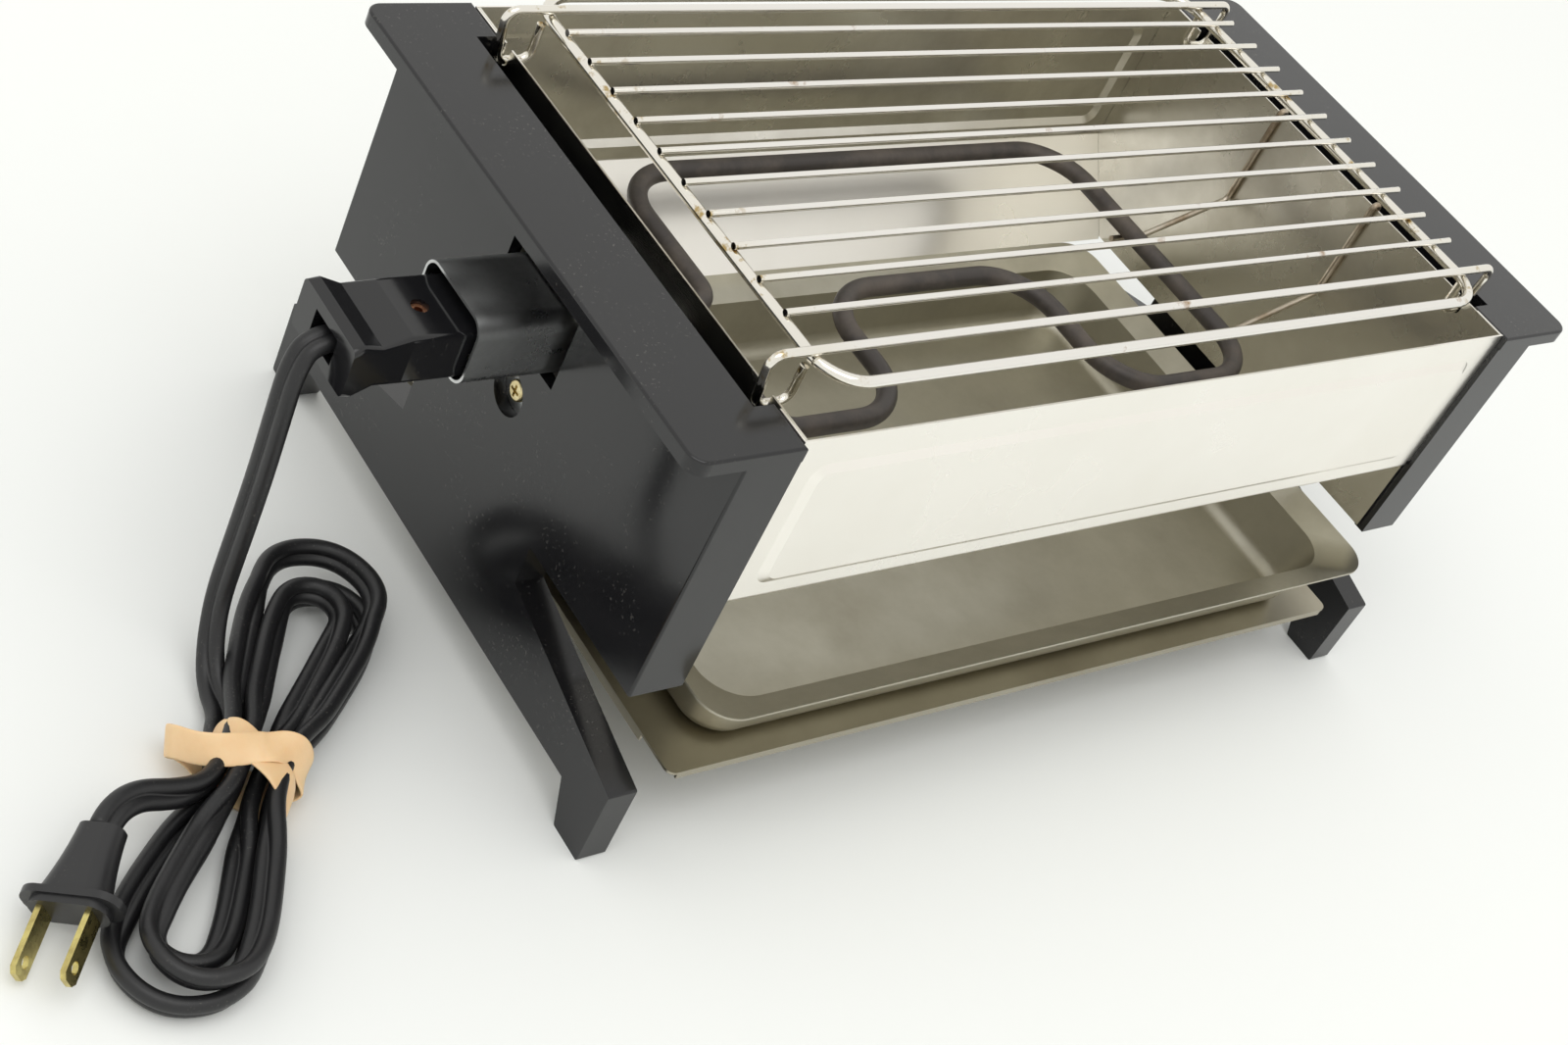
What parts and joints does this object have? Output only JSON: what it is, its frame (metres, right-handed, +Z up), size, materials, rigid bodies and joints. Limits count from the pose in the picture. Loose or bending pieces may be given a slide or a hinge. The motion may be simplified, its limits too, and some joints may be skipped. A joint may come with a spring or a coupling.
{
  "type": "electric indoor grill",
  "caption": "Low table-top electric grill with moulded end panels, steel body, wire grid, tubular heater, slide-out drip pan on a tray, and a detachable cord wound in a hank",
  "frame": {"origin": "bottom centre of the grill without its cord, on the table under the feet", "axes": "+X along the body away from the cord inlet, +Y from the front towards the back, +Z up"},
  "size_m": [0.4947, 0.213, 0.1576],
  "materials": {
    "phenolic": "polished moulded black",
    "stainless": "satin brushed",
    "stainless_inner": "brushed, heat toned",
    "tray_steel": "dull bronze grey",
    "pan_steel": "satin, slightly stained",
    "grid_chrome": "plated rod with stains at the welds",
    "element_sheath": "dark oxidised sheath",
    "support_wire": "heat toned wire",
    "shield_metal": "bright plated",
    "yellow_zinc": "yellow zinc plated",
    "plain_zinc": "zinc plated",
    "ceramic": "unglazed ceramic",
    "pin_nickel": "nickel plated",
    "copper": "bright copper",
    "cord_jacket": "satin black",
    "band_rubber": "tan, slightly translucent",
    "plug_moulding": "satin black moulding",
    "blade_brass": "rolled brass"
  },
  "bodies": {
    "body": {"left_end_panel": "phenolic", "right_end_panel": "phenolic", "front_panel": "stainless", "rear_panel": "stainless", "left_liner": "stainless_inner", "right_liner": "stainless_inner", "liner_screws": "plain_zinc", "base_tray": "tray_steel", "tray_screws": "plain_zinc", "heating_element": "element_sheath", "support_wire_front": "support_wire", "support_wire_rear": "support_wire", "plug_shield": "shield_metal", "shield_screw": "yellow_zinc", "shield_spacer": "plain_zinc", "shield_nut": "plain_zinc", "terminal_block": "ceramic", "terminal_pins": "pin_nickel", "element_bushings": "ceramic"},
    "drip_pan": {"drip_pan": "pan_steel"},
    "grid": {"grid_frame": "grid_chrome", "grid_cross_rods": "grid_chrome", "grid_foot_rods": "grid_chrome"},
    "cord_set": {"connector_upper_half": "phenolic", "connector_lower_half": "phenolic", "connector_rivet": "copper", "connector_contacts": "pin_nickel", "cord_stretch": "cord_jacket", "cord_hank": "cord_jacket", "cord_tail": "cord_jacket", "rubber_band": "band_rubber", "plug_body": "plug_moulding", "plug_blades": "blade_brass"}
  },
  "joints": [
    {"name": "drip_pan_slide", "type": "slide", "parent": "body", "child": "drip_pan", "axis": [0, -1, 0], "range_m": [-0.0173, 0.15]},
    {"name": "grid_lift", "type": "slide", "parent": "body", "child": "grid", "axis": [0, 0, 1], "range_m": [0, 0.06]},
    {"name": "connector_pull", "type": "slide", "parent": "body", "child": "cord_set", "axis": [-1, 0, 0], "range_m": [0, 0.035]}
  ]
}
